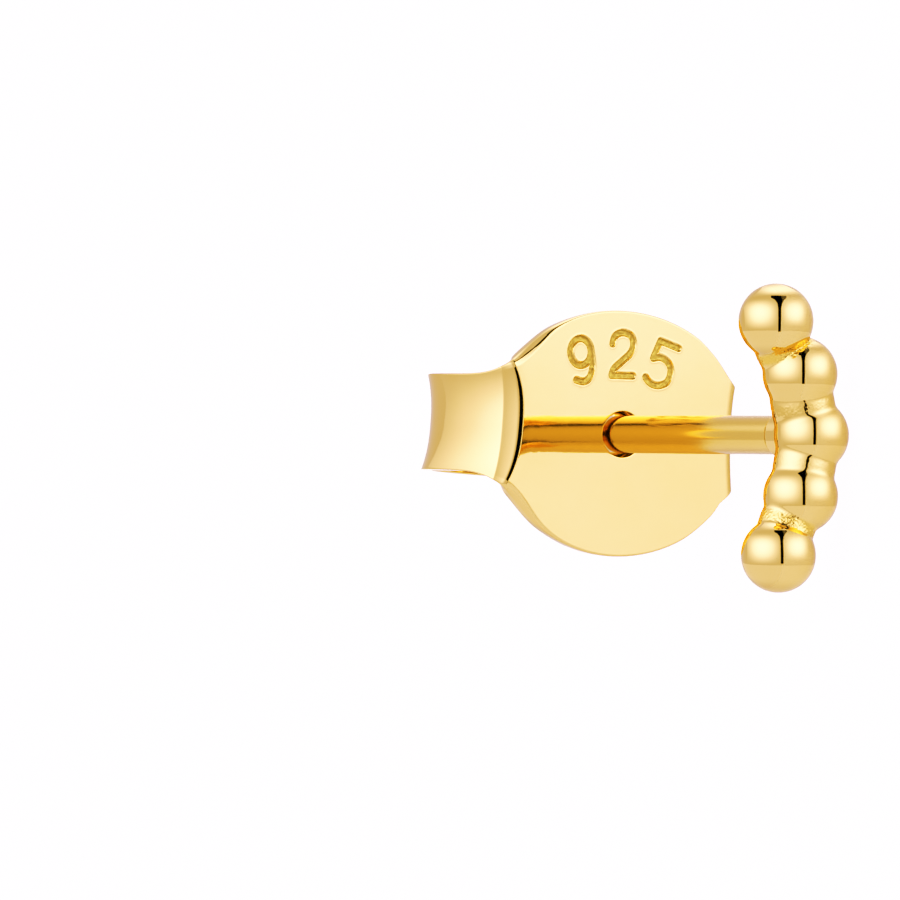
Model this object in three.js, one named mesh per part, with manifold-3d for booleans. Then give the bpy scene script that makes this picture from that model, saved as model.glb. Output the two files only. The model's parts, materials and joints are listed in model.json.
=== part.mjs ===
// Stud earring: a short curved bar of five fused beads, soldered to a straight ear post,
// and the stamped butterfly back that grips the post behind the earlobe.
//
// Everything is first laid out in the stud's own frame, in millimetres: +X runs to the right
// along the butterfly's ears, +Z runs up the bead bar, and +Y runs down the post, away from
// the beads. Y is 0 at the butterfly's flat front. The last group then lays the stud down as
// it rests on a table, +Z up, with the origin under the middle of its box.
import * as THREE from "three";
import { mergeVertices } from "three/addons/utils/BufferGeometryUtils.js";
import Module from "manifold-3d";

const wasm = await Module();
wasm.setup();

const DEGREE = Math.PI / 180;

// Bead bar: five round beads in a row that bows to the right, each sunk a little into the next.
const BEAD_RADIUS = 0.755;
const BEADS = [
  { right: -0.85, up: 2.285 },
  { right: -0.275, up: 1.23 },
  { right: 0, up: 0 },
  { right: -0.26, up: -1.22 },
  { right: -0.79, up: -2.4 },
];
const OUTER_NECK_RADIUS = 0.52; // solder between an end bead and the next one
const INNER_NECK_RADIUS = 0.6; // solder between the three middle beads
const BAR_TO_BACK = 7.3; // from the bead centres to the butterfly's front

// Ear post: round wire, soldered to the middle bead, with a rounded tip.
const POST_RADIUS = 0.4;
const POST_TIP = 3.95; // how far the tip stands behind the butterfly's front
const TIP_ROUND = 0.22;
const COLLAR_RADIUS = 0.49; // solder collar where the post meets the bead
const COLLAR_LENGTH = 0.36;

// Butterfly back: an oval disc whose two side tabs bend back and roll up beside the post.
const SHEET = 0.25;
const DISC_HALF_WIDTH = 3.05;
const DISC_HALF_HEIGHT = 2.625;
const HOLE_RADIUS = 0.485;
const RIDGE_MIDDLE = 2.49; // where the front starts to bend, level with the post
const RIDGE_END = 2.75; // where it starts to bend, at the disc's outline
const RIDGE_CURVE = 2.5;
const BEND_OUT = 2.89; // distance from the post at which the tight bend is done
const BEND_TURN = 67 * DEGREE;
const EAR_DEPTH = 2.15; // how far behind the front an ear is widest
const EAR_HALF_HEIGHT = 1.01;
const EAR_TAPER = 1.2;
const FILLET_POWER = 6; // how sharply the disc's outline turns into the tab's: higher is sharper
const CURL_RADIUS = 1.4;
const CURL_TURN = 190 * DEGREE;
const TAIL_RADIUS = 0.8;
const TAIL_TURN = 80 * DEGREE;
const BUTTERFLY_TURN = 4.7 * DEGREE; // the back has turned a little on the post

// The stud rests on both corners of its right ear and on the middle bead of the bar.
const REST_ROLL = 85.3 * DEGREE; // round the post, from the bar standing upright
const REST_PITCH = 16.13 * DEGREE; // the post then slopes down towards the beads

// Facets along half of the butterfly's strip, and across it.
const FLAT_STEPS = 16;
const BEND_STEPS = 5;
const SWEEP_STEPS = 3;
const CURL_STEPS = 16;
const TAIL_STEPS = 6;
const ACROSS_STEPS = 8;

// A closed three.js geometry as a manifold-3d solid.
function solid(geometry) {
  geometry.deleteAttribute("normal");
  geometry.deleteAttribute("uv");
  const merged = mergeVertices(geometry, 1e-5);
  return new wasm.Manifold(
    new wasm.Mesh({
      numProp: 3,
      vertProperties: new Float32Array(merged.attributes.position.array),
      triVerts: new Uint32Array(merged.index.array),
    }),
  );
}

// A manifold-3d solid as a three.js geometry.
function geometryOf(manifold) {
  const mesh = manifold.getMesh();
  const geometry = new THREE.BufferGeometry();
  geometry.setAttribute("position", new THREE.BufferAttribute(mesh.vertProperties, 3));
  geometry.setIndex(new THREE.BufferAttribute(mesh.triVerts, 1));
  geometry.computeVertexNormals();
  return geometry;
}

function bead(centre) {
  const sphere = new THREE.SphereGeometry(BEAD_RADIUS, 26, 18);
  sphere.rotateX(Math.PI / 2);
  sphere.translate(centre.x, centre.y, centre.z);
  return solid(sphere);
}

// The solder that fills the groove between two neighbouring beads.
function neck(from, to, radius) {
  const along = new THREE.Vector3().subVectors(to, from);
  const cylinder = new THREE.CylinderGeometry(radius, radius, along.length(), 20);
  const upright = new THREE.Vector3(0, 1, 0);
  const turn = new THREE.Quaternion().setFromUnitVectors(upright, along.clone().normalize());
  cylinder.applyQuaternion(turn);
  const middle = new THREE.Vector3().addVectors(from, to).multiplyScalar(0.5);
  cylinder.translate(middle.x, middle.y, middle.z);
  return solid(cylinder);
}

// The post with its solder collar and rounded tip, turned about the Y axis.
function post() {
  const root = -BAR_TO_BACK;
  const collarEnd = -BAR_TO_BACK + BEAD_RADIUS + COLLAR_LENGTH;
  const profile = [
    new THREE.Vector2(0, root),
    new THREE.Vector2(COLLAR_RADIUS, root),
    new THREE.Vector2(COLLAR_RADIUS, collarEnd - COLLAR_LENGTH),
    new THREE.Vector2(POST_RADIUS, collarEnd),
  ];
  const tipSteps = 4;
  for (let step = 0; step <= tipSteps; step += 1) {
    const angle = (step / tipSteps) * 90 * DEGREE;
    profile.push(
      new THREE.Vector2(
        POST_RADIUS - TIP_ROUND + TIP_ROUND * Math.cos(angle),
        POST_TIP - TIP_ROUND + TIP_ROUND * Math.sin(angle),
      ),
    );
  }
  profile.push(new THREE.Vector2(0, POST_TIP));
  return solid(new THREE.LatheGeometry(profile, 28));
}

// Bead bar and post are soldered together, so they are one solid.
function beadedStud() {
  const centres = BEADS.map(({ right, up }) => new THREE.Vector3(right, -BAR_TO_BACK, up));
  let body = post();
  for (const centre of centres) {
    body = body.add(bead(centre));
  }
  for (let index = 1; index < centres.length; index += 1) {
    const touchesEndBead = index === 1 || index === centres.length - 1;
    const radius = touchesEndBead ? OUTER_NECK_RADIUS : INNER_NECK_RADIUS;
    body = body.add(neck(centres[index - 1], centres[index], radius));
  }
  return geometryOf(body);
}

// Half height of the flat front at a distance from its middle: the oval, filleted into the tab.
function discHalfHeight(out) {
  const oval = DISC_HALF_HEIGHT * Math.sqrt(1 - (out / DISC_HALF_WIDTH) ** 2);
  return (oval ** FILLET_POWER + EAR_HALF_HEIGHT ** FILLET_POWER) ** (1 / FILLET_POWER);
}

// Distance from the middle at which the front starts to bend, at a height above the post.
function ridge(up) {
  const share = Math.min(1, Math.abs(up) / discHalfHeight(RIDGE_END));
  return RIDGE_MIDDLE + (RIDGE_END - RIDGE_MIDDLE) * share ** RIDGE_CURVE;
}

// The arcs that the strip follows from the ridge at a height: tight bend, ear, curl and tail.
function arcs(up) {
  const bendRadius = (BEND_OUT - ridge(up)) / Math.sin(BEND_TURN);
  const bendDepth = bendRadius * (1 - Math.cos(BEND_TURN));
  const sweepRadius = (EAR_DEPTH - bendDepth) / Math.cos(BEND_TURN);
  return [
    { radius: bendRadius, turn: BEND_TURN, steps: BEND_STEPS },
    { radius: sweepRadius, turn: 90 * DEGREE - BEND_TURN, steps: SWEEP_STEPS },
    { radius: CURL_RADIUS, turn: CURL_TURN, steps: CURL_STEPS },
    { radius: TAIL_RADIUS, turn: TAIL_TURN, steps: TAIL_STEPS },
  ];
}

// A point of the strip's outer face: distance out, depth behind the front, and how far it has bent.
function stripPoint(step, up) {
  if (step <= FLAT_STEPS) {
    return { out: (step / FLAT_STEPS) * ridge(up), depth: 0, bent: 0 };
  }
  let out = ridge(up);
  let depth = 0;
  let bent = 0;
  let left = step - FLAT_STEPS;
  for (const arc of arcs(up)) {
    const turn = arc.turn * Math.min(1, left / arc.steps);
    out += arc.radius * (Math.sin(bent + turn) - Math.sin(bent));
    depth += arc.radius * (Math.cos(bent) - Math.cos(bent + turn));
    bent += turn;
    left -= Math.min(left, arc.steps);
  }
  return { out, depth, bent };
}

// Half height of the blank at a step along the strip: the oval disc, then the tapering tab.
function blankHalfHeight(step) {
  if (step <= FLAT_STEPS) {
    return discHalfHeight((step / FLAT_STEPS) * RIDGE_END);
  }
  if (step > FLAT_STEPS + BEND_STEPS + SWEEP_STEPS) {
    return EAR_HALF_HEIGHT;
  }
  const share = 1 - stripPoint(step, 0).depth / EAR_DEPTH;
  const extra = discHalfHeight(RIDGE_END) - EAR_HALF_HEIGHT;
  return EAR_HALF_HEIGHT + extra * Math.max(0, share) ** EAR_TAPER;
}

// The butterfly back: a flat strip, bent to its section, with the post's hole cut through it.
function butterflyBack() {
  const halfSteps = FLAT_STEPS + BEND_STEPS + SWEEP_STEPS + CURL_STEPS + TAIL_STEPS;
  const strip = new THREE.BoxGeometry(2 * halfSteps, 2, 1, 2 * halfSteps, ACROSS_STEPS, 1);
  const position = strip.attributes.position;
  for (let index = 0; index < position.count; index += 1) {
    const step = Math.round(Math.abs(position.getX(index)));
    const side = Math.sign(position.getX(index));
    const up = position.getY(index) * blankHalfHeight(step);
    const inward = position.getZ(index) < 0 ? SHEET : 0;
    const at = stripPoint(step, up);
    const out = at.out - inward * Math.sin(at.bent);
    const depth = at.depth + inward * Math.cos(at.bent);
    position.setXYZ(index, side * out, depth, up);
  }
  const drill = new THREE.CylinderGeometry(HOLE_RADIUS, HOLE_RADIUS, 4 * SHEET, 32);
  return geometryOf(solid(strip).subtract(solid(drill)));
}

const gold = new THREE.MeshStandardMaterial({ color: 0xe8c15a, roughness: 0.12, metalness: 1 });
const backGold = new THREE.MeshStandardMaterial({ color: 0xe6be58, roughness: 0.14, metalness: 1 });

const stud = new THREE.Mesh(beadedStud(), gold);
stud.name = "beaded_stud";

const back = new THREE.Mesh(butterflyBack(), backGold);
back.name = "butterfly_back";
back.rotation.y = BUTTERFLY_TURN;

const rolled = new THREE.Group();
rolled.rotation.y = REST_ROLL;
rolled.add(stud, back);

const lying = new THREE.Group();
lying.rotation.x = REST_PITCH;
lying.add(rolled);

// Set down on z = 0, centred over the origin.
const box = new THREE.Box3().setFromObject(lying, true);
const earring = new THREE.Group();
earring.position.set(-(box.min.x + box.max.x) / 2, -(box.min.y + box.max.y) / 2, -box.min.z);
earring.add(lying);

export default earring;
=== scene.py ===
"""Stud earring: a bar of five fused gold beads on an ear post, with its stamped butterfly back.

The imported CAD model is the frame. Both of its nodes are replaced by finer meshes of the same
shapes. They are worked out in millimetres in the stud's own frame, which part.mjs uses too: +X
runs to the right along the butterfly's ears, +Z up the bead bar and +Y down the post, away from
the beads, with the origin in the middle of the butterfly's hole. STUD_FRAME then lays them on
the floor as the CAD rests. In the picture the camera is rolled, so that the bar stands upright.
The floor is a pale glass table in a dim white studio, with a lit backdrop beneath it.
"""
import json
import math

import bmesh
import bpy
import numpy as np
from mathutils import Matrix, Vector


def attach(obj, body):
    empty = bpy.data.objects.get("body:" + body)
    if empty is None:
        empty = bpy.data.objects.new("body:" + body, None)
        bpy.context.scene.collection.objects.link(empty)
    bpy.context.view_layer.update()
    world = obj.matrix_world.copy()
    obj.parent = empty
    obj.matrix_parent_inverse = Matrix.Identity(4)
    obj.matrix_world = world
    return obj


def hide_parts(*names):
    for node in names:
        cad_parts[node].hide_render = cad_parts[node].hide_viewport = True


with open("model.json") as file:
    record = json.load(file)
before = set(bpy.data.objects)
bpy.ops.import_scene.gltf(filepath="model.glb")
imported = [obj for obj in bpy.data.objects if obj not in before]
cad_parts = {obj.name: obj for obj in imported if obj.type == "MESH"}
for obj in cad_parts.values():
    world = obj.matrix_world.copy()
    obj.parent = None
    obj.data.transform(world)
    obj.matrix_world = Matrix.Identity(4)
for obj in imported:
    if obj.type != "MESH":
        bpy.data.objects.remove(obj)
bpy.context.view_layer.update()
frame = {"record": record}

MM = 0.001

# ---------------------------------------------------------------- the frame's own sizes, in mm

BEAD_RADIUS = 0.755
BAR_TO_BACK = 7.3
BEADS = [(-0.85, 2.285), (-0.275, 1.23), (0.0, 0.0), (-0.26, -1.22), (-0.79, -2.4)]
POST_RADIUS = 0.4
POST_TIP = 3.95
TIP_ROUND = 0.22
COLLAR_RADIUS = 0.475
COLLAR_END = -6.23
COLLAR_ROUND = 0.07

SHEET = 0.25
DISC_HALF_WIDTH = 3.07
DISC_HALF_HEIGHT = 2.618
HOLE_RADIUS = 0.49
RIDGE_MIDDLE = 2.44
RIDGE_END = 2.75
RIDGE_CURVE = 2.5
EAR_DEPTH = 2.2
EAR_HALF_HEIGHT = 1.03
CURL_RADIUS = 1.4
CURL_TURN = math.radians(190)
TAIL_RADIUS = 0.8
TAIL_TURN = math.radians(80)
BUTTERFLY_TURN = math.radians(4.7)

REST_ROLL = math.radians(85.3)
REST_PITCH = math.radians(16.13)
LOBE_MOUNT_DROP = 1.6  # the mount lies this far below the hole, which is towards -X at rest

# ---------------------------------------------------------------- details only this script has

NECK_RADII = (0.56, 0.65, 0.635, 0.58)  # of the solder between two beads, from the top down
NECK_HALF_LENGTH = 0.4  # its ends are hidden in the beads
NECK_BARREL = 0.2  # its radius shrinks by this times the square of the way from its middle
NECK_SHIFTS = np.array([  # the solder sits a little towards the post
    (-0.07, 0.09, 0),
    (-0.03, 0.06, 0),
    (-0.01, 0.04, 0),
    (-0.025, 0.055, 0),
])
NECK_BLEND = 0.07  # width over which the solder flows into the beads
NECK_ROUGHNESS = (1.0, 0.25, 0.12, 1.0)  # only the end necks are grainy
WIRE_ROUGHNESS = 0.6  # the drawn post is this much as rough as the solder
WIRE_START = 0.1  # length past the collar over which the post becomes so
COLLAR_BLEND = 0.06
POST_BLEND = 0.1
SOLDER_GRAIN = 0.009  # height of the rough solder
SOLDER_ALONG = (0.05, 0.17)  # it is rough out to here along the neck, and smooth from here on
SOLDER_OUT = (0.05, 0.15)  # and in the same way outwards
SOLDER_LEAST = 0.001  # below this share of roughness the metal counts as smooth
SOLDER_REFINED = 0.05  # and above this share its mesh is refined
SOLDER_BUMPS = (0.06, 0.033)  # sizes of its coarse and fine bumps
SOLDER_MIX = 0.6  # weight of each
BAR_CELL = 0.042  # mesh size of the bar
BAR_MARGIN = 0.1  # free space round it in the net
NET_SHIFT = 0.03  # the net starts this much further left, where it pinches no vertex

RIM_FRONT_ROUND = 0.035
RIM_BACK_ROUND = 0.04
FLANGE_WIDTH = 0.04  # the stamped border slopes back over this width all round the disc
FLANGE_EXTRA = 0.13  # and over this much more beside the left tab
FLANGE_PLACE = -2.45  # where that extra is widest, and over what distance it fades
FLANGE_SPREAD = 0.65
FLANGE_CREASE_SLOPE = 0.38
FLANGE_ROUNDING = 0.06  # the crease steepens by this much over half the flange
FLANGE_SLOPE = 0.8
FLANGE_SOFTNESS = 0.012
FLANGE_FADE = (2.45, 3.3)  # the flange runs out between these distances from the post
EAR_PINCH = 0.03  # the bent ears are dished by this much between their edges
EAR_PINCH_SPAN = (0.6, 2.6)  # lengths of the bent strip between which they become so
EAR_SETBACKS = (0.035, 0.26)  # the left and right ear lie this much inside their bending line
EAR_SETBACK_SPAN = (0.4, 1.8)

ENGRAVING_DEPTH = 0.055
ENGRAVING_HALF_STROKE = 0.072
ENGRAVING_WALL = 0.02
ENGRAVING_GRAIN = 0.008
ENGRAVING_GRAIN_SIZE = 0.045
ENGRAVING_ROUND = 0.004  # the wall's upper edge is rounded over this much outside the stroke
ENGRAVING_LIP = 0.003  # height of the metal raised round a stroke
ENGRAVING_LIP_OUT = 0.02  # how far outside the stroke it is highest
ENGRAVING_LIP_WIDTH = 0.016
ENGRAVING_MARGIN = 0.14

HOLE_CENTRE = Vector(frame["record"]["mounts"][0]["pos_m"]) + Vector((LOBE_MOUNT_DROP * MM, 0, 0))
STUD_FRAME = (
    Matrix.Translation(HOLE_CENTRE)
    @ Matrix.Rotation(REST_PITCH, 4, "X")
    @ Matrix.Rotation(REST_ROLL, 4, "Y")
)


# ---------------------------------------------------------------- camera

CAMERA_DISTANCE = 113.04  # in mm, from the middle of the hole
CAMERA_SIDE = math.radians(31.28)  # to the left of the bar's front
CAMERA_RISE = 0.324  # in mm, towards the bar's top
AIM_SIDE = math.radians(29.42)
AIM_DOWN = 0.00582  # in radians
CAMERA_LENS = 212.5


def make_camera():
    """The camera stands level with the post in the stud's own frame, and takes on its roll."""
    place = Vector((
        -CAMERA_DISTANCE * math.sin(CAMERA_SIDE),
        -CAMERA_DISTANCE * math.cos(CAMERA_SIDE),
        CAMERA_RISE,
    ))
    level = math.cos(AIM_DOWN)
    forward = Vector((math.sin(AIM_SIDE) * level, math.cos(AIM_SIDE) * level, -math.sin(AIM_DOWN)))
    right = Vector((math.cos(AIM_SIDE), -math.sin(AIM_SIDE), 0))
    up = right.cross(forward)
    turn = Matrix((right, up, -forward)).transposed().to_4x4()
    data = bpy.data.cameras.new("camera")
    data.lens = CAMERA_LENS
    data.clip_start = 0.005
    data.clip_end = 5.0
    camera = bpy.data.objects.new("camera", data)
    bpy.context.scene.collection.objects.link(camera)
    camera.matrix_world = STUD_FRAME @ Matrix.Translation(place * MM) @ turn
    bpy.context.scene.camera = camera
    return camera


CAMERA = make_camera()


# ---------------------------------------------------------------- mesh tools

def smoothstep(low, high, value):
    share = np.clip((value - low) / (high - low), 0, 1)
    return share * share * (3 - 2 * share)


def lattice_noise(points, size, seed):
    """A smooth random field from -1 to 1, whose bumps are about size across."""
    side = 32
    lattice = np.random.default_rng(seed).uniform(-1, 1, (side, side, side))
    scaled = points / size
    cell = np.floor(scaled).astype(int)
    share = scaled - cell
    share = share * share * (3 - 2 * share)
    total = np.zeros(len(points))
    for corner in np.ndindex(2, 2, 2):
        weight = np.prod(np.where(np.array(corner) == 1, share, 1 - share), axis=1)
        x, y, z = ((cell + corner) % side).T
        total += weight * lattice[x, y, z]
    return total


def gradient(field, points, step=0.002):
    parts = []
    for axis in range(3):
        move = np.zeros(3)
        move[axis] = step
        parts.append((field(points + move) - field(points - move)) / (2 * step))
    return np.stack(parts, axis=1)


def onto_surface(field, points, rounds=3, longest=0.03):
    """Moves points along the field's slope onto its zero level."""
    for _ in range(rounds):
        slope = gradient(field, points)
        size = np.maximum(np.sum(slope * slope, axis=1), 1e-6)
        move = slope * (field(points) / size)[:, None]
        length = np.linalg.norm(move, axis=1)[:, None]
        points = points - move * np.minimum(1, longest / np.maximum(length, 1e-9))
    return points


def surface_net(field, low, high, cell):
    """Quads round the zero level of a field, with one vertex in each cell that it crosses."""
    axes = [np.arange(start, end + cell, cell) for start, end in zip(low, high)]
    grid = np.stack(np.meshgrid(*axes, indexing="ij"), axis=-1)
    shape = grid.shape[:3]
    inside = field(grid.reshape(-1, 3)).reshape(shape) < 0
    cells = tuple(count - 1 for count in shape)
    count = np.zeros(cells, int)
    for corner in np.ndindex(2, 2, 2):
        count += inside[tuple(slice(c, c + n) for c, n in zip(corner, cells))]
    crossed = (count > 0) & (count < 8)
    number = np.full(cells, -1)
    number[crossed] = np.arange(crossed.sum())
    corners = [axes[axis][index] for axis, index in enumerate(np.nonzero(crossed))]
    points = np.stack(corners, axis=1)
    points += cell / 2
    quads = []
    for axis in range(3):
        one, two = [other for other in range(3) if other != axis]
        here = tuple(slice(0, -1) if other == axis else slice(1, -1) for other in range(3))
        ahead = tuple(slice(1, None) if other == axis else slice(1, -1) for other in range(3))
        start = inside[here]
        changes = np.nonzero(start != inside[ahead])
        outward = start[changes]
        corner = [index.copy() for index in changes]
        corner[one] += 1
        corner[two] += 1
        ring = []
        for step_one, step_two in ((0, 0), (-1, 0), (-1, -1), (0, -1)):
            place = [index.copy() for index in corner]
            place[one] += step_one
            place[two] += step_two
            ring.append(number[tuple(place)])
        quad = np.stack(ring, axis=1)
        flip = outward if axis != 1 else ~outward
        quad[~flip] = quad[~flip][:, ::-1]
        quads.append(quad)
    return points, np.concatenate(quads)


def relaxed(points, quads, field, rounds):
    """Evens out a net: each vertex moves to its neighbours' middle, and back to the surface."""
    start = np.concatenate([quads[:, k] for k in range(4)])
    end = np.concatenate([quads[:, (k + 1) % 4] for k in range(4)])
    near = np.bincount(start, minlength=len(points))[:, None]
    for _ in range(rounds):
        sums = [np.bincount(start, points[end, k], len(points)) for k in range(3)]
        total = np.stack(sums, axis=1)
        points = onto_surface(field, 0.5 * points + 0.5 * total / near, rounds=1)
    return points


def new_piece(name, points, faces, normals=None):
    """A smooth mesh object from points in the stud's frame, laid down as the CAD rests."""
    mesh = bpy.data.meshes.new(name)
    mesh.from_pydata([tuple(point) for point in points * MM], [], faces)
    mesh.transform(STUD_FRAME)
    mesh.shade_smooth()
    if normals is not None:
        turn = np.array(STUD_FRAME.to_3x3())
        mesh.normals_split_custom_set_from_vertices((normals @ turn.T).tolist())
    mesh.update()
    piece = bpy.data.objects.new(name, mesh)
    bpy.context.scene.collection.objects.link(piece)
    return piece


def add_mask(piece, name, values):
    mask = piece.data.attributes.new(name, "FLOAT", "POINT")
    mask.data.foreach_set("value", np.asarray(values, np.float32))


# ---------------------------------------------------------------- bead bar and post

BEAD_CENTRES = [np.array((right, -BAR_TO_BACK, up)) for right, up in BEADS]


def smooth_union(one, two, blend):
    overlap = np.maximum(blend - np.abs(one - two), 0) / blend
    return np.minimum(one, two) - overlap ** 3 * blend / 6


def post_distance(points):
    """Distance to a straight round post with a rounded tip, and to its solder collar."""
    radial = np.hypot(points[:, 0], points[:, 2])
    post = rounded_rod(radial, points[:, 1], POST_RADIUS, POST_TIP, TIP_ROUND)
    collar = rounded_rod(radial, points[:, 1], COLLAR_RADIUS, COLLAR_END, COLLAR_ROUND)
    return smooth_union(post, collar, COLLAR_BLEND)


def rounded_rod(radial, along, radius, end, rounding):
    half = (end + BAR_TO_BACK) / 2
    over = radial - (radius - rounding)
    beyond = np.abs(along - (end - half)) - (half - rounding)
    outside = np.hypot(np.maximum(over, 0), np.maximum(beyond, 0))
    return outside + np.minimum(np.maximum(over, beyond), 0) - rounding


def bead_distance(points, centre):
    return np.linalg.norm(points - centre, axis=1) - BEAD_RADIUS


def neck_place(points, index):
    """Length along the solder neck below a bead, from its middle, and distance from its axis."""
    one, two = BEAD_CENTRES[index], BEAD_CENTRES[index + 1]
    axis = (two - one) / np.linalg.norm(two - one)
    from_middle = points - (one + two) / 2 - NECK_SHIFTS[index]
    along = from_middle @ axis
    return along, np.linalg.norm(from_middle - along[:, None] * axis, axis=1)


def neck_distance(points, index):
    along, radial = neck_place(points, index)
    radius = NECK_RADII[index] - NECK_BARREL * along ** 2
    return np.maximum(radial - radius, np.abs(along) - NECK_HALF_LENGTH)


def solder_share(points):
    """How much a point of the surface lies in rough solder, from 0 to 1."""
    share = np.zeros(len(points))
    for index, rough in enumerate(NECK_ROUGHNESS):
        along, radial = neck_place(points, index)
        near = 1 - smoothstep(*SOLDER_ALONG, np.abs(along))
        close = 1 - smoothstep(*SOLDER_OUT, radial - NECK_RADII[index])
        share = np.maximum(share, rough * near * close)
    return share


def stud_field(points, grain=True):
    bar = bead_distance(points, BEAD_CENTRES[0])
    for centre in BEAD_CENTRES[1:]:
        bar = np.minimum(bar, bead_distance(points, centre))
    for index in range(len(NECK_RADII)):
        bar = smooth_union(bar, neck_distance(points, index), NECK_BLEND)
    whole = smooth_union(bar, post_distance(points), POST_BLEND)
    if not grain:
        return whole
    share = solder_share(points)
    rough = np.zeros(len(points))
    there = share > SOLDER_LEAST
    coarse = lattice_noise(points[there], SOLDER_BUMPS[0], 11)
    fine = lattice_noise(points[there], SOLDER_BUMPS[1], 12)
    rough[there] = SOLDER_MIX * coarse + SOLDER_MIX * fine
    return whole - SOLDER_GRAIN * share * rough


def refined(points, faces, chosen, cuts):
    """Splits the edges of the chosen faces of a mesh."""
    mesh = bmesh.new()
    vertices = [mesh.verts.new(point) for point in points]
    made = [mesh.faces.new([vertices[index] for index in face]) for face in faces]
    edges = {edge for face, split in zip(made, chosen) if split for edge in face.edges}
    bmesh.ops.subdivide_edges(mesh, edges=list(edges), cuts=cuts, use_grid_fill=True)
    bmesh.ops.recalc_face_normals(mesh, faces=mesh.faces)
    mesh.verts.index_update()
    new_points = np.array([vertex.co for vertex in mesh.verts])
    new_faces = [[vertex.index for vertex in face.verts] for face in mesh.faces]
    mesh.free()
    return new_points, new_faces


def make_beaded_stud():
    right = [centre[0] for centre in BEAD_CENTRES]
    up = [centre[2] for centre in BEAD_CENTRES]
    reach = BEAD_RADIUS + BAR_MARGIN
    low = (min(right) - reach - NET_SHIFT, -BAR_TO_BACK - reach, min(up) - reach)
    high = (max(right) + reach, POST_TIP + BAR_MARGIN, max(up) + reach)

    def plain(points):
        return stud_field(points, grain=False)

    points, quads = surface_net(plain, low, high, BAR_CELL)
    points = onto_surface(plain, points, rounds=2)
    points = relaxed(points, quads, plain, rounds=6)
    share = solder_share(points)
    in_solder = share[quads].max(axis=1) > SOLDER_REFINED
    points, faces = refined(points, quads, in_solder, cuts=2)
    points = onto_surface(stud_field, points)
    normals = gradient(stud_field, points)
    normals /= np.linalg.norm(normals, axis=1)[:, None]
    stud = new_piece("beaded_stud_gold", points, faces, normals)
    drawn = WIRE_ROUGHNESS * smoothstep(COLLAR_END, COLLAR_END + WIRE_START, points[:, 1])
    add_mask(stud, "rough", np.maximum(solder_share(points), drawn))
    return stud


# ---------------------------------------------------------------- butterfly back

FLAT_COLUMNS = 44
SECTION_COLUMNS = (8, 4, 4, 3, 10, 5, 16, 32, 10)  # of each section of the strip, in order
INNER_ROWS = 32
EDGE_ROWS = 20
EDGE_BAND = 0.3  # the outer rows lie in this band, which holds the flange
HALF_ROWS = INNER_ROWS + EDGE_ROWS
HOLE_COLUMNS = 14  # the square patch round the hole, counted from its middle
HOLE_ROWS = 9
HOLE_RINGS = 8
HOLE_LIP = 0.015
HOLE_BACK_RADIUS = 0.425  # the hole closes in on the post towards the back

# The blank's outline on either side: how sharply the oval turns into the tab, where the tab
# starts, how fast the tab narrows, and the oval's half width.
OUTLINE_LEFT = (4.41, 1.81, 0.83, DISC_HALF_WIDTH)
OUTLINE_RIGHT = (9.0, 2.74, 1.2, 3.16)
OUTLINE_CHANGE = (-1.0, 1.0)  # between these distances the left form turns into the right one
OUTLINE_SHIFT = -0.03  # the oval's middle lies a little beside the hole
OUTLINE_RISE = 0.01  # and a little above it
OUTLINE_LEAN = 0.0146  # the oval leans against the tabs' line
OUTLINE_BOW = (0.0078, 0.005)  # and is bowed up towards its left and right ends
OUTLINE_FADE = (2.2, 3.2)  # this shift of the border runs out between these distances
OUTLINE_LATE = 0.5  # and this much further out at the right end
OUTLINE_RIGHT_RISE = 0.09  # the right end sits this much higher
RIGHT_START = (1.6, 2.3)  # distances between which the right end begins to differ
RIGHT_END = (2.8, 3.9)  # and ceases to
RIGHT_RIDGE_SHIFT = (0.14, -0.05)  # the right ridge lies this much further out, middle and ends
RIGHT_RIDGE_LEAN = 0.06  # and stands more upright than the left one by this slope
RIGHT_CORNERS = (0.02, 0.06)  # its upper and lower ends are rounded off by this much
RIGHT_CORNER_START = (2.3, 2.7)

# The strip's sections after the flat disc: length in mm and turn in degrees; the ear, curl and
# tail follow. The left fold is a soft entry, a crease, a narrow band, a second crease, a hollow
# strip and a third crease. The right fold is evenly round.
ENTRY = 0.2
ENTRY_TURN = 1.5
FOLD_LEFT = ((0.012, 19.2), (0.09, 1.8), (0.05, 13.5), (0.29, -8), (0.045, 34))
FOLD_RIGHT = ((0.06, 12.1),) * 5
FOLD_NARROWING = 0.3
BACK_SPREAD = 0.14  # length over which the inside of a crease is rounded


def oval_half_height(out, power, half_width=DISC_HALF_WIDTH):
    oval = DISC_HALF_HEIGHT * np.sqrt(np.maximum(1 - (out / half_width) ** 2, 0))
    return (oval ** power + EAR_HALF_HEIGHT ** power) ** (1 / power)


def ridge(up):
    """Distance from the post at which the front starts to bend, at a height."""
    share = np.minimum(1, np.abs(up) / oval_half_height(RIDGE_END, OUTLINE_LEFT[0]))
    return RIDGE_MIDDLE + (RIDGE_END - RIDGE_MIDDLE) * share ** RIDGE_CURVE


def fold_width(up, side):
    """Share of the fold's full width: the left fold narrows to the ends of its ridge."""
    past_middle = (ridge(up) - RIDGE_MIDDLE) / (RIDGE_END - RIDGE_MIDDLE)
    return 1 - np.where(side > 0, 0, FOLD_NARROWING) * past_middle


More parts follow.
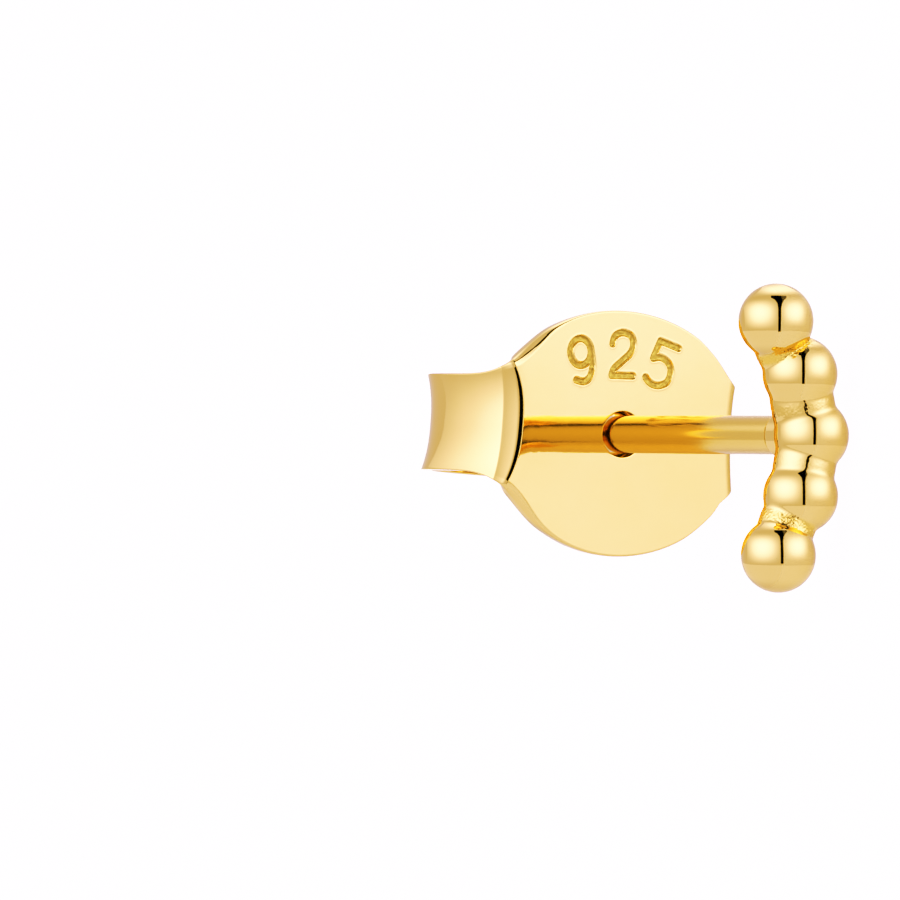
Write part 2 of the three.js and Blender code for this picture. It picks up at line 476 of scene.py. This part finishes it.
def sections(up, side):
    """Length and turn of each section of the bent strip, at a height and on a side."""
    width = fold_width(up, side)
    even = np.ones_like(width)
    made = [(ENTRY * even, math.radians(ENTRY_TURN) * even)]
    for left, right in zip(FOLD_LEFT, FOLD_RIGHT):
        length, turn = [np.where(side > 0, *pair) for pair in zip(right, left)]
        made.append((length * width, np.radians(turn)))
    turned = 0.0
    depth = 0.0
    for length, turn in made:
        depth = depth + length / turn * (np.cos(turned) - np.cos(turned + turn))
        turned = turned + turn
    ear_turn = math.pi / 2 - turned
    ear_radius = (EAR_DEPTH - depth) / np.cos(turned)
    made.append((ear_radius * ear_turn, ear_turn))
    made.append((CURL_RADIUS * CURL_TURN * even, CURL_TURN * even))
    made.append((TAIL_RADIUS * TAIL_TURN * even, TAIL_TURN * even))
    return made


def turn_total(left, made):
    """Integral of the strip's turn over its length from the fold's start."""
    total = np.zeros_like(left)
    turned = 0.0
    for length, turn in made:
        share = np.clip(left / length, 0, 1)
        total = total + length * (turned * share + turn * share ** 2 / 2)
        turned = turned + turn
        left = left - length
    return total + turned * np.maximum(left, 0)


def bend(along, up, inward):
    """Places points of the flat blank on the bent strip: along it, up it, and down its thickness.

    The sheet's thickness follows the turn averaged over BACK_SPREAD, so that the inside of a sharp
    crease is round."""
    side = np.sign(along)
    start = ridge(up) - ENTRY
    made = sections(up, side)
    past = np.abs(along) - start
    ahead = turn_total(past + BACK_SPREAD, made)
    behind = turn_total(past - BACK_SPREAD, made)
    lean = (ahead - behind) / (2 * BACK_SPREAD)
    left = np.maximum(past, 0)
    setback = np.where(side > 0, EAR_SETBACKS[1], EAR_SETBACKS[0])
    pinch = EAR_PINCH * (1 - (up / EAR_HALF_HEIGHT) ** 2)
    inward = inward + smoothstep(*EAR_SETBACK_SPAN, left) * setback
    inward = inward + smoothstep(*EAR_PINCH_SPAN, left) * pinch
    out = np.minimum(np.abs(along), start)
    depth = np.zeros_like(out)
    turned = np.zeros_like(out)
    for length, turn in made:
        radius = length / turn
        now = turned + turn * np.clip(left / length, 0, 1)
        out = out + radius * (np.sin(now) - np.sin(turned))
        depth = depth + radius * (np.cos(turned) - np.cos(now))
        left = np.maximum(left - length, 0)
        turned = now
    out = out - inward * np.sin(lean)
    depth = depth + inward * np.cos(lean)
    return np.stack([side * out, depth, up], axis=1)


def right_shift(along, up):
    """How far the right fold lies further out than the left one, mirrored."""
    share = (ridge(up) - RIDGE_MIDDLE) / (RIDGE_END - RIDGE_MIDDLE)
    middle, end = RIGHT_RIDGE_SHIFT
    line = middle + (end - middle) * share - RIGHT_RIDGE_LEAN * up
    corner = np.where(up > 0, *RIGHT_CORNERS) * share ** 2
    fade = 1 - smoothstep(*RIGHT_END, along)
    outer = corner * smoothstep(*RIGHT_CORNER_START, along)
    return (line * smoothstep(*RIGHT_START, along) - outer) * fade


def section_lengths(up, side):
    return [ridge(up) - ENTRY] + [length for length, _ in sections(up, side)]


def distance_along(station, up):
    """Length along the strip to a station: 1 where the fold starts, 1 more for each section."""
    total = np.zeros_like(up)
    for index, length in enumerate(section_lengths(up, np.sign(station))):
        total = total + length * np.clip(np.abs(station) - index, 0, 1)
    return np.sign(station) * total


def half_height(off, power, join, narrowing, half_width):
    """The oval, then from the join on a tab that narrows smoothly to its even width."""
    step = 0.001
    near_join = oval_half_height(np.array([join - step, join]), power, half_width)
    extra = near_join[1] - EAR_HALF_HEIGHT
    steepness = (near_join[0] - near_join[1]) / step / extra
    beyond = np.maximum(off - join, 0)
    tab = EAR_HALF_HEIGHT + extra * np.exp(-steepness * beyond - narrowing * beyond ** 2)
    return np.where(off < join, oval_half_height(off, power, half_width), tab)


def blank_half_height(along):
    """Half height of the flat blank."""
    off = along - OUTLINE_SHIFT
    left = half_height(np.abs(off), *OUTLINE_LEFT)
    right = half_height(np.abs(off), *OUTLINE_RIGHT)
    return left + (right - left) * smoothstep(*OUTLINE_CHANGE, off)


def blank_stations():
    right = [np.linspace(0, 1, FLAT_COLUMNS + 1)]
    for index, columns in enumerate(SECTION_COLUMNS):
        right.append(index + 1 + np.linspace(0, 1, columns + 1)[1:])
    right = np.concatenate(right)
    return np.concatenate([-right[:0:-1], right])


def blank_outline(stations):
    """Where each column meets the blank's upper outline, and which way is inward there."""
    up = np.full(len(stations), EAR_HALF_HEIGHT)
    for _ in range(12):
        along = distance_along(stations, up)
        up = 0.5 * up + 0.5 * blank_half_height(along)
    along = distance_along(stations, up)
    slope = np.gradient(up, along)
    length = np.hypot(slope, 1)
    inward = np.stack([slope / length, -1 / length], axis=1)
    return np.stack([along, up], axis=1), inward


def flange_width(along):
    from_widest = (along - FLANGE_PLACE) / FLANGE_SPREAD
    return FLANGE_WIDTH + FLANGE_EXTRA * np.exp(-(from_widest ** 2))


def flange_drop(along, from_edge):
    """How far the border slopes back: a narrow steep crease first, then the flange itself."""
    within = flange_width(along) - from_edge
    width = 0.5 * flange_width(along)
    crease = FLANGE_CREASE_SLOPE * softened(within, FLANGE_SOFTNESS)
    crease += FLANGE_ROUNDING * np.clip(within, 0, width) ** 2 / width
    slope = FLANGE_SLOPE * softened(within - width, FLANGE_SOFTNESS)
    fade = 1 - smoothstep(*FLANGE_FADE, np.abs(along))
    return (crease + slope) * fade


def softened(value, width):
    """The value where it is above zero, starting smoothly."""
    return np.where(value > width, value - width / 2, np.maximum(value, 0) ** 2 / (2 * width))


def rim_profile():
    """Steps of the rim from the front face to the back: distance from the outline, and depth."""
    rows = []
    for angle in np.linspace(0, math.pi / 2, 6):
        distance = RIM_FRONT_ROUND * (1 - math.sin(angle))
        rows.append((distance, RIM_FRONT_ROUND * (1 - math.cos(angle))))
    for angle in np.linspace(0, math.pi / 2, 5):
        distance = RIM_BACK_ROUND * (1 - math.cos(angle))
        rows.append((distance, SHEET - RIM_BACK_ROUND * (1 - math.sin(angle))))
    return rows


class Blank:
    """The flat blank under construction: points are distance along, depth and height."""

    def __init__(self):
        self.points = []
        self.faces = []

    def add(self, along, depth, up):
        rows = np.stack(np.broadcast_arrays(along, depth, up), axis=-1).reshape(-1, 3)
        first = len(self.points)
        self.points.extend(rows.tolist())
        return np.arange(first, len(self.points))

    def band(self, one, two):
        """Quads between two closed loops of the same count."""
        for here, there in zip(range(len(one)), np.roll(range(len(one)), -1)):
            self.faces.append([one[here], one[there], two[there], two[here]])


def loop_of_grid(numbers):
    """The border of a grid of point numbers, as one closed loop."""
    return np.concatenate([
        numbers[:-1, -1],
        numbers[-1, :0:-1],
        numbers[:0:-1, 0],
        numbers[0, :-1],
    ])


def row_heights(edge):
    """Heights of a column's upper rows, from the middle to the edge: closer in the border."""
    border = (edge - EDGE_BAND)[:, None]
    inner = border * np.linspace(0, 1, INNER_ROWS + 1)[None, :]
    outer = border + EDGE_BAND * np.linspace(0, 1, EDGE_ROWS + 1)[None, 1:]
    return np.concatenate([inner, outer], axis=1)


def face_grid(blank, stations, outline, inward, inset, depth):
    """The blank's front or back face as a grid that keeps off the outline by the inset."""
    edge = outline + inward * inset
    upper = row_heights(edge[:, 1])
    up = np.concatenate([-upper[:, :0:-1], upper], axis=1)
    station = np.repeat(stations[:, None], up.shape[1], axis=1)
    along = distance_along(station, up)
    shift = edge[:, 0] - distance_along(stations, edge[:, 1])
    along = along + shift[:, None] * np.abs(up / edge[:, 1:2]) ** 8
    along[0, :] += inset
    along[-1, :] -= inset
    return blank.add(along, depth, up).reshape(along.shape)


def patch_range():
    middle_column = FLAT_COLUMNS + sum(SECTION_COLUMNS)
    columns = slice(middle_column - HOLE_COLUMNS, middle_column + HOLE_COLUMNS + 1)
    rows = slice(HALF_ROWS - HOLE_ROWS, HALF_ROWS + HOLE_ROWS + 1)
    return columns, rows


def grid_faces(blank, numbers):
    columns, rows = patch_range()
    for i in range(numbers.shape[0] - 1):
        for j in range(numbers.shape[1] - 1):
            if columns.start <= i < columns.stop - 1 and rows.start <= j < rows.stop - 1:
                continue
            near, far = numbers[i], numbers[i + 1]
            blank.faces.append([near[j], far[j], far[j + 1], near[j + 1]])


def rim_ways(outline, inward):
    """Places all round the outline and the ways inward from them, in the order of loop_of_grid."""
    upper = row_heights(outline[[0, -1], 1])
    left_rows, right_rows = np.concatenate([-upper[:, :0:-1], upper], axis=1)
    right_end = np.stack([np.full(len(right_rows), outline[-1, 0]), right_rows[::-1]], axis=1)
    left_end = np.stack([np.full(len(left_rows), outline[0, 0]), left_rows], axis=1)
    sides = [
        (outline, inward, (1.0, -1.0)),
        (right_end, np.tile((-1.0, 0.0), (len(right_end), 1)), (-1.0, -1.0)),
        (outline[::-1] * (1, -1), inward[::-1] * (1, -1), (-1.0, 1.0)),
        (left_end, np.tile((1.0, 0.0), (len(left_end), 1)), (1.0, 1.0)),
    ]
    places, ways = [], []
    for side, way, corner in sides:
        way = way.copy()
        way[0] = corner
        places.append(side[:-1])
        ways.append(way[:-1])
    return np.concatenate(places), np.concatenate(ways)


def rim_faces(blank, outline, inward, front, back):
    """The rounded rim from the front face's border to the back face's."""
    places, ways = rim_ways(outline, inward)
    loops = [front]
    for distance, depth in rim_profile()[1:-1]:
        at = places + ways * distance
        loops.append(blank.add(at[:, 0], depth, at[:, 1]))
    loops.append(back)
    for one, two in zip(loops, loops[1:]):
        blank.band(one, two)


def hole_faces(blank, front, back):
    """Rings from the front face's square patch in to the hole, through it, and out again."""
    columns, rows = patch_range()
    borders = [loop_of_grid(numbers[columns, rows]) for numbers in (front, back)]
    points = np.array(blank.points)
    loops = [borders[0]]
    square = points[borders[0]][:, [0, 2]]
    angle = np.arctan2(square[:, 1], square[:, 0])
    ray = np.stack([np.cos(angle), np.sin(angle)], axis=1)

    def ring(place, depth):
        loops.append(blank.add(place[:, 0], depth, place[:, 1]))

    for share in np.linspace(0, 1, HOLE_RINGS + 1)[1:]:
        ring(square * (1 - share) + ray * (HOLE_RADIUS + HOLE_LIP) * share, 0)
    for turn in np.linspace(0, math.pi / 2, 6)[1:]:
        radius = HOLE_RADIUS + HOLE_LIP * (1 - math.sin(turn))
        ring(ray * radius, HOLE_LIP * (1 - math.cos(turn)))
    ring(ray * HOLE_BACK_RADIUS, SHEET - RIM_BACK_ROUND)
    for turn in np.linspace(0, math.pi / 2, 4)[1:]:
        radius = HOLE_BACK_RADIUS + RIM_BACK_ROUND * (1 - math.cos(turn))
        ring(ray * radius, SHEET - RIM_BACK_ROUND * (1 - math.sin(turn)))
    square = points[borders[1]][:, [0, 2]]
    for share in np.linspace(0, 1, HOLE_RINGS + 1)[1:-1]:
        ring(ray * (HOLE_BACK_RADIUS + RIM_BACK_ROUND) * (1 - share) + square * share, SHEET)
    loops.append(borders[1])
    for one, two in zip(loops, loops[1:]):
        blank.band(two, one)


# ---------------------------------------------------------------- the stamped fineness number

# Each stroke is a smooth curve through a few points, in mm from the digit's middle.
NINE = [
    [(0.232, 0.24), (0.265, 0.05), (0.28, -0.15), (0.22, -0.35), (0.07, -0.455), (-0.12, -0.42)],
]
NINE_LOOP = (-0.012, 0.174, 0.252, 0.285)  # middle and half sizes of the nine's oval
TWO = [
    [(-0.25, 0.22), (-0.18, 0.39), (0.01, 0.46), (0.21, 0.39), (0.27, 0.21), (0.19, 0.02),
     (-0.03, -0.16), (-0.21, -0.31), (-0.275, -0.45)],
    [(-0.275, -0.45), (0.25, -0.46)],
]
FIVE = [
    [(0.41, 0.33), (-0.04, 0.485)],
    [(-0.04, 0.485), (-0.225, 0.115)],
    [(-0.225, 0.115), (-0.03, 0.13), (0.15, 0.02), (0.215, -0.18), (0.11, -0.4), (-0.12, -0.47),
     (-0.31, -0.41), (-0.42, -0.29)],
]
DIGIT_PLACES = [(-1.02, 1.57), (0.005, 1.70), (0.995, 1.505)]


def smooth_curve(points, steps=14):
    """A Catmull-Rom curve through points."""
    knots = np.array([points[0], *points, points[-1]], float)
    places = []
    for a, b, c, d in zip(knots, knots[1:], knots[2:], knots[3:]):
        for t in np.linspace(0, 1, steps, endpoint=False):
            places.append(0.5 * (2 * b + (c - a) * t + (2 * a - 5 * b + 4 * c - d) * t ** 2
                                 + (3 * b - a - 3 * c + d) * t ** 3))
    places.append(knots[-1])
    return np.array(places)


def digit_strokes():
    """All strokes of the number, as polylines in the butterfly's own frame."""
    right, up, half_width, half_height = NINE_LOOP
    turns = np.linspace(0, 2 * math.pi, 49)
    oval = np.stack([right + half_width * np.cos(turns), up + half_height * np.sin(turns)], axis=1)
    digits = [
        [oval] + [smooth_curve(stroke) for stroke in NINE],
        [smooth_curve(stroke) for stroke in TWO],
        [smooth_curve(stroke) for stroke in FIVE],
    ]
    cosine, sine = math.cos(BUTTERFLY_TURN), math.sin(BUTTERFLY_TURN)
    turn_back = np.array([[cosine, sine], [-sine, cosine]])
    strokes = []
    for place, digit in zip(DIGIT_PLACES, digits):
        for stroke in digit:
            strokes.append((stroke + place) @ turn_back)
    return strokes


def distance_to_strokes(points, strokes):
    nearest = np.full(len(points), np.inf)
    for stroke in strokes:
        for start, end in zip(stroke, stroke[1:]):
            way = end - start
            share = np.clip((points - start) @ way / max(way @ way, 1e-12), 0, 1)
            gap = np.linalg.norm(points - start - share[:, None] * way, axis=1)
            nearest = np.minimum(nearest, gap)
    return nearest


def engraved(points, strokes):
    """How deep the number is stamped at points of the front face, and a mask of its floor, where
    the material paints shade.
    """
    flat = points[:, [0, 2]]
    gap = distance_to_strokes(flat, strokes)
    foot = ENGRAVING_HALF_STROKE - ENGRAVING_WALL
    mask = 1 - smoothstep(foot, ENGRAVING_HALF_STROKE + ENGRAVING_ROUND, gap)
    grain = lattice_noise(points, ENGRAVING_GRAIN_SIZE, 21) * ENGRAVING_GRAIN
    from_lip = (gap - ENGRAVING_HALF_STROKE - ENGRAVING_LIP_OUT) / ENGRAVING_LIP_WIDTH
    lip = ENGRAVING_LIP * np.exp(-(from_lip ** 2))
    return mask * (ENGRAVING_DEPTH + grain) - lip, mask


def off_centre(points):
    """Moves the blank's border a little: the oval is not quite centred on the hole."""
    along, up = points[:, 0], points[:, 2]
    border = np.minimum(np.abs(up) / blank_half_height(along), 1) ** 4
    fade = 1 - smoothstep(*OUTLINE_FADE, np.where(along < 0, -along, along - OUTLINE_LATE))
    bow = np.where(along < 0, *OUTLINE_BOW)
    rise = OUTLINE_RISE + OUTLINE_LEAN * along + bow * along ** 2
    rise += OUTLINE_RIGHT_RISE * smoothstep(*RIGHT_START, along)
    points[:, 2] += rise * fade * border


def make_blank():
    """The flat blank: its front face at depth 0 and its back a sheet's thickness behind."""
    stations = blank_stations()
    outline, inward = blank_outline(stations)
    blank = Blank()
    front = face_grid(blank, stations, outline, inward, RIM_FRONT_ROUND, 0.0)
    back = face_grid(blank, stations, outline, inward, RIM_BACK_ROUND, SHEET)
    grid_faces(blank, front)
    grid_faces(blank, back[:, ::-1])
    rim_faces(blank, outline, inward, loop_of_grid(front), loop_of_grid(back))
    hole_faces(blank, front, back)
    return np.array(blank.points), blank.faces


def on_number(points, strokes):
    """Which points of the front face lie in the number's box."""
    low = np.min([stroke.min(axis=0) for stroke in strokes], axis=0) - ENGRAVING_MARGIN
    high = np.max([stroke.max(axis=0) for stroke in strokes], axis=0) + ENGRAVING_MARGIN
    flat = points[:, [0, 2]]
    return (np.abs(points[:, 1]) < 1e-6) & np.all((flat > low) & (flat < high), axis=1)


def outline_steepness(along, step=0.01):
    """Length of the outline over its length along the blank."""
    slope = (blank_half_height(along + step) - blank_half_height(along - step)) / (2 * step)
    return np.hypot(1, slope)


def make_butterfly_back():
    points, faces = make_blank()
    strokes = digit_strokes()
    middles = np.array([points[face].mean(axis=0) for face in faces])
    points, faces = refined(points, faces, on_number(middles, strokes), cuts=3)
    close = on_number(points, strokes)
    from_edge = blank_half_height(points[:, 0]) - np.abs(points[:, 2])
    drop = flange_drop(points[:, 0], from_edge / outline_steepness(points[:, 0]))
    off_centre(points)
    mask = np.zeros(len(points))
    depth, mask[close] = engraved(points[close], strokes)
    points[close, 1] += depth
    bent = bend(points[:, 0], points[:, 2], points[:, 1])
    bent[:, 1] += drop
    bent[:, 0] += right_shift(points[:, 0], points[:, 2])
    cosine, sine = math.cos(BUTTERFLY_TURN), math.sin(BUTTERFLY_TURN)
    right = bent[:, 0] * cosine + bent[:, 2] * sine
    up = bent[:, 2] * cosine - bent[:, 0] * sine
    turned = np.stack([right, bent[:, 1], up], axis=1)
    piece = new_piece("butterfly_back_gold", turned, faces)
    # the mask makes the number's floor rough and paints shade into it
    add_mask(piece, "rough", mask)
    return piece


# ---------------------------------------------------------------- materials

GOLD = (0.93, 0.69, 0.262, 1)
GOLD_DEEP = (0.915, 0.665, 0.235, 1)
GOLD_SOLDER = (0.9, 0.64, 0.2, 1)
GOLD_EDGE = (1, 0.96, 0.84, 1)  # at a grazing angle
# painted shade: the floor of the stamped number is coloured darker than the plate, standing in for
# the shade in its recess
GOLD_NUMBER_PAINTED_SHADE = (0.62, 0.475, 0.145, 1)
SOLDER_MATTE = 0.22  # roughness of the solder and of the number's floor
STAMPED_MATTE = 0.45
BAR_POLISH = (0.015, 0.035)  # roughness of the polished parts, from and to
BACK_POLISH = (0.02, 0.045)


def gold_material(name, masked_colour, rough_value, polish_range):
    """Polished gold plate with faint colour drift and haze, rough where the mesh's mask says so
    and there given the masked colour: deeper solder on the bar, painted shade on the floor of the
    stamped number.
    """
    material = bpy.data.materials.new(name)
    material.use_nodes = True
    nodes, links = material.node_tree.nodes, material.node_tree.links
    shader = nodes["Principled BSDF"]
    shader.inputs["Metallic"].default_value = 1.0
    shader.inputs["Specular Tint"].default_value = GOLD_EDGE
    place = nodes.new("ShaderNodeTexCoord")

    drift = nodes.new("ShaderNodeTexNoise")
    drift.inputs["Scale"].default_value = 700
    drift.inputs["Detail"].default_value = 3
    links.new(place.outputs["Object"], drift.inputs["Vector"])
    colour = nodes.new("ShaderNodeMix")
    colour.data_type = "RGBA"
    colour.inputs["A"].default_value = GOLD
    colour.inputs["B"].default_value = GOLD_DEEP
    links.new(drift.outputs["Fac"], colour.inputs["Factor"])
    mask = nodes.new("ShaderNodeAttribute")
    mask.attribute_name = "rough"
    # where the mask is, the colour turns to masked_colour: deeper solder on the bar and painted
    # shade in the butterfly's stamped number
    tinted = nodes.new("ShaderNodeMix")
    tinted.data_type = "RGBA"
    tinted.inputs["B"].default_value = masked_colour
    links.new(mask.outputs["Fac"], tinted.inputs["Factor"])
    links.new(colour.outputs["Result"], tinted.inputs["A"])
    links.new(tinted.outputs["Result"], shader.inputs["Base Color"])

    haze = nodes.new("ShaderNodeTexNoise")
    haze.inputs["Scale"].default_value = 2600
    haze.inputs["Detail"].default_value = 5
    links.new(place.outputs["Object"], haze.inputs["Vector"])
    polish = nodes.new("ShaderNodeMapRange")
    polish.inputs["From Min"].default_value = 0.35
    polish.inputs["From Max"].default_value = 0.7
    polish.inputs["To Min"].default_value = polish_range[0]
    polish.inputs["To Max"].default_value = polish_range[1]
    links.new(haze.outputs["Fac"], polish.inputs["Value"])
    roughness = nodes.new("ShaderNodeMix")
    roughness.inputs["B"].default_value = rough_value
    links.new(mask.outputs["Fac"], roughness.inputs["Factor"])
    links.new(polish.outputs["Result"], roughness.inputs["A"])
    links.new(roughness.outputs["Result"], shader.inputs["Roughness"])

    bump = nodes.new("ShaderNodeBump")
    bump.inputs["Strength"].default_value = 0.05
    bump.inputs["Distance"].default_value = 0.00002
    links.new(haze.outputs["Fac"], bump.inputs["Height"])
    links.new(bump.outputs["Normal"], shader.inputs["Normal"])
    return material


# ---------------------------------------------------------------- floor and light

def plain_object(name, points, faces):
    mesh = bpy.data.meshes.new(name)
    mesh.from_pydata([tuple(point) for point in points], [], faces)
    mesh.shade_smooth()
    made = bpy.data.objects.new(name, mesh)
    bpy.context.scene.collection.objects.link(made)
    return made


def glow_material(name):
    """Light of the strength held in the mesh's glow attribute."""
    material = bpy.data.materials.new(name)
    material.use_nodes = True
    nodes, links = material.node_tree.nodes, material.node_tree.links
    nodes.clear()
    output = nodes.new("ShaderNodeOutputMaterial")
    emission = nodes.new("ShaderNodeEmission")
    glow = nodes.new("ShaderNodeAttribute")
    glow.attribute_name = "glow"
    links.new(glow.outputs["Fac"], emission.inputs["Strength"])
    links.new(emission.outputs["Emission"], output.inputs["Surface"])
    return material


def reflected_place(u, v, distance):
    """Where a polished bead shows the camera the point u to the right and v up on its face,
    both as shares of its radius."""
    turn = CAMERA.matrix_world.to_3x3()
    right_way = np.array(turn @ Vector((1, 0, 0)))
    up_way = np.array(turn @ Vector((0, 1, 0)))
    towards_camera = np.array(turn @ Vector((0, 0, 1)))
    rim = 0.0004
    facing = np.sqrt(np.maximum(1 - u * u - v * v, rim))
    normal = u[..., None] * right_way + v[..., None] * up_way + facing[..., None] * towards_camera
    direction = 2 * facing[..., None] * normal - towards_camera
    direction /= np.linalg.norm(direction, axis=-1, keepdims=True)
    centre = np.array(STUD_FRAME @ Vector((0, -BAR_TO_BACK * MM, 0)))
    return centre + direction * distance


def light_panel(name, rows, strength, distance):
    """A curved sail of light or a black card, at a distance in metres. Each row gives a height in
    the beads' reflection and how far the sail reaches to the left and right there; strength is a
    function of both."""
    across, upward = 40, 48
    heights, lefts, rights = np.array(rows).T
    v = np.linspace(heights[0], heights[-1], upward + 1)[None, :] * np.ones((across + 1, 1))
    left = np.interp(v, heights, lefts)
    right = np.interp(v, heights, rights)
    u = left + (right - left) * np.linspace(0, 1, across + 1)[:, None]
    points = reflected_place(u, v, distance).reshape(-1, 3)
    faces = []
    for i in range(across):
        for j in range(upward):
            first = i * (upward + 1) + j
            faces.append([first, first + 1, first + upward + 2, first + upward + 1])
    panel = plain_object(name, points, faces)
    add_mask(panel, "glow", strength(u, v).reshape(-1))
    panel.data.materials.append(glow_material(name))
    panel.visible_camera = False
    return panel


def bump(value, middle, below, above):
    """1 at the middle, falling smoothly to 0 at the given distances below and above it."""
    share = np.where(value < middle, (middle - value) / below, (value - middle) / above)
    return np.cos(np.clip(share, 0, 1) * math.pi / 2) ** 2


def soft_glow(middle, widths, heights, edge, peak):
    """Strength of a soft box: a bright middle that fades to its edge."""
    def strength(u, v):
        glow = bump(u, middle[0], *widths) * bump(v, middle[1], *heights)
        return edge + (peak - edge) * glow
    return strength


def even(value):
    def strength(u, v):
        return np.full(u.shape, value)
    return strength


BELOW_GLOW = 0.88  # strength of the light below
BELOW_FADE = 0.16  # and how much weaker it is at its lower edge
BELOW_FADE_SPAN = (0.6, 0.95)


def fading_down(u, v):
    return BELOW_GLOW - BELOW_FADE * smoothstep(*BELOW_FADE_SPAN, -v)


GLASS = 0.78  # share of light that the floor lets through
FLOOR_WHITE = (0.9, 0.9, 0.9, 1)
SURROUND = 0.72  # radiance of the dim studio
BACKDROP = 1.65  # and of the lit backdrop under the glass, where the camera looks
BACKDROP_COSINES = (math.cos(math.radians(13)), math.cos(math.radians(9)))


def floor_material():
    """A pale glass table: most light passes through it, so that shadows on it are faint."""
    material = bpy.data.materials.new("floor_glass")
    material.use_nodes = True
    nodes, links = material.node_tree.nodes, material.node_tree.links
    shader = nodes["Principled BSDF"]
    shader.inputs["Base Color"].default_value = FLOOR_WHITE
    shader.inputs["Roughness"].default_value = 0.9
    shader.inputs["Specular IOR Level"].default_value = 0.1
    clear = nodes.new("ShaderNodeBsdfTransparent")
    blend = nodes.new("ShaderNodeMixShader")
    blend.inputs["Fac"].default_value = GLASS
    links.new(shader.outputs["BSDF"], blend.inputs[1])
    links.new(clear.outputs["BSDF"], blend.inputs[2])
    links.new(blend.outputs["Shader"], nodes["Material Output"].inputs["Surface"])
    return material


def make_floor():
    """A round table one metre in radius."""
    radius = 1.0
    turns = np.linspace(0, 2 * math.pi, 96, endpoint=False)
    points = [(radius * math.cos(turn), radius * math.sin(turn), 0) for turn in turns]
    floor = plain_object("floor", points, [list(range(len(points)))])
    floor.data.materials.append(floor_material())


def make_world():
    """A dim white studio whose backdrop is bright behind the jewel."""
    world = bpy.data.worlds.new("world")
    world.use_nodes = True
    nodes, links = world.node_tree.nodes, world.node_tree.links
    place = nodes.new("ShaderNodeTexCoord")
    towards = nodes.new("ShaderNodeVectorMath")
    towards.operation = "DOT_PRODUCT"
    towards.inputs[1].default_value = CAMERA.matrix_world.to_3x3() @ Vector((0, 0, -1))
    strength = nodes.new("ShaderNodeMapRange")
    strength.interpolation_type = "SMOOTHSTEP"
    strength.inputs["From Min"].default_value = BACKDROP_COSINES[0]
    strength.inputs["From Max"].default_value = BACKDROP_COSINES[1]
    strength.inputs["To Min"].default_value = SURROUND
    strength.inputs["To Max"].default_value = BACKDROP
    background = nodes["Background"]
    background.inputs["Color"].default_value = (1, 1, 1, 1)
    links.new(place.outputs["Generated"], towards.inputs[0])
    links.new(towards.outputs["Value"], strength.inputs["Value"])
    links.new(strength.outputs["Result"], background.inputs["Strength"])
    bpy.context.scene.world = world


PANEL_DISTANCE = 0.3
BELOW_DISTANCE = 0.34
CARD_DISTANCE = 0.025
PANEL_LEFT = [(-0.245, -0.84, 0.03), (0.4, -0.84, 0.03), (0.61, -0.7, -0.1)]
PANEL_RIGHT = [(-0.245, 0.1, 0.86), (0.4, 0.12, 0.86), (0.61, 0.2, 0.74)]
PANEL_TOP = [(0.67, -0.6, 0.72), (0.97, -0.2, 0.2)]
PANEL_BELOW = [(-0.95, -0.3, 0.3), (-0.6, -0.78, 0.78), (-0.26, -0.95, 0.95)]
CARD = [(-0.245, 0.02, 0.085), (0.35, 0.02, 0.085), (0.48, 0.0, 0.115), (0.56, -0.06, 0.17),
        (0.6, -0.14, 0.22), (0.65, -0.14, 0.22)]


def make_studio():
    make_floor()
    make_world()
    left = soft_glow((-0.46, 0.24), (0.46, 0.56), (0.52, 0.37), 0.73, 2.25)
    right = soft_glow((0.5, 0.25), (0.45, 0.33), (0.43, 0.36), 0.78, 2.6)
    top = soft_glow((0.12, 0.83), (0.7, 0.9), (0.17, 0.17), 0.75, 2.2)
    light_panel("panel_left", PANEL_LEFT, left, PANEL_DISTANCE)
    light_panel("panel_right", PANEL_RIGHT, right, PANEL_DISTANCE)
    light_panel("panel_top", PANEL_TOP, top, PANEL_DISTANCE)
    light_panel("panel_below", PANEL_BELOW, fading_down, BELOW_DISTANCE)
    light_panel("black_card", CARD, even(0.0), CARD_DISTANCE)


# How the picture shows each colour's light: pairs of light in and tone out.
TONES_RED = [(0, 0), (0.2, 0.13), (0.35, 0.29), (0.45, 0.41), (0.62, 0.62), (0.7, 0.7),
             (0.865, 0.855), (1.0, 0.93), (1.15, 0.97), (1.3, 0.99), (1.6, 1.0)]
TONES_GREEN = [(0, 0), (0.2, 0.11), (0.35, 0.26), (0.45, 0.375), (0.52, 0.475), (0.62, 0.61),
               (0.7, 0.68), (0.865, 0.805), (1.0, 0.885), (1.15, 0.94), (1.3, 0.97), (1.45, 0.99),
               (1.6, 1.0)]
TONES_BLUE = [(0, 0), (0.1, 0.03), (0.17, 0.09), (0.2, 0.165), (0.244, 0.28), (0.29, 0.37),
              (0.37, 0.53), (0.58, 0.73), (0.8, 0.83), (1.0, 0.935), (1.3, 0.99), (1.6, 1.0)]


def set_tones():
    view = bpy.context.scene.view_settings
    view.view_transform = "Standard"
    view.use_curve_mapping = True
    mapping = view.curve_mapping
    mapping.clip_max_x = TONES_RED[-1][0]
    for curve, tones in zip(mapping.curves, (TONES_RED, TONES_GREEN, TONES_BLUE)):
        curve.points[0].location = tones[0]
        curve.points[1].location = tones[-1]
        for tone in tones[1:-1]:
            curve.points.new(*tone)
    mapping.extend = "HORIZONTAL"
    mapping.update()


# ---------------------------------------------------------------- assembly

stud = make_beaded_stud()
bar_gold = gold_material("polished_gold", GOLD_SOLDER, SOLDER_MATTE, BAR_POLISH)
stud.data.materials.append(bar_gold)
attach(stud, "stud")
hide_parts("beaded_stud")

butterfly = make_butterfly_back()
# the butterfly's material paints shade on the stamped number's floor
back_gold = gold_material("stamped_gold", GOLD_NUMBER_PAINTED_SHADE, STAMPED_MATTE, BACK_POLISH)
butterfly.data.materials.append(back_gold)
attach(butterfly, "back")
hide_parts("butterfly_back")

make_studio()
set_tones()
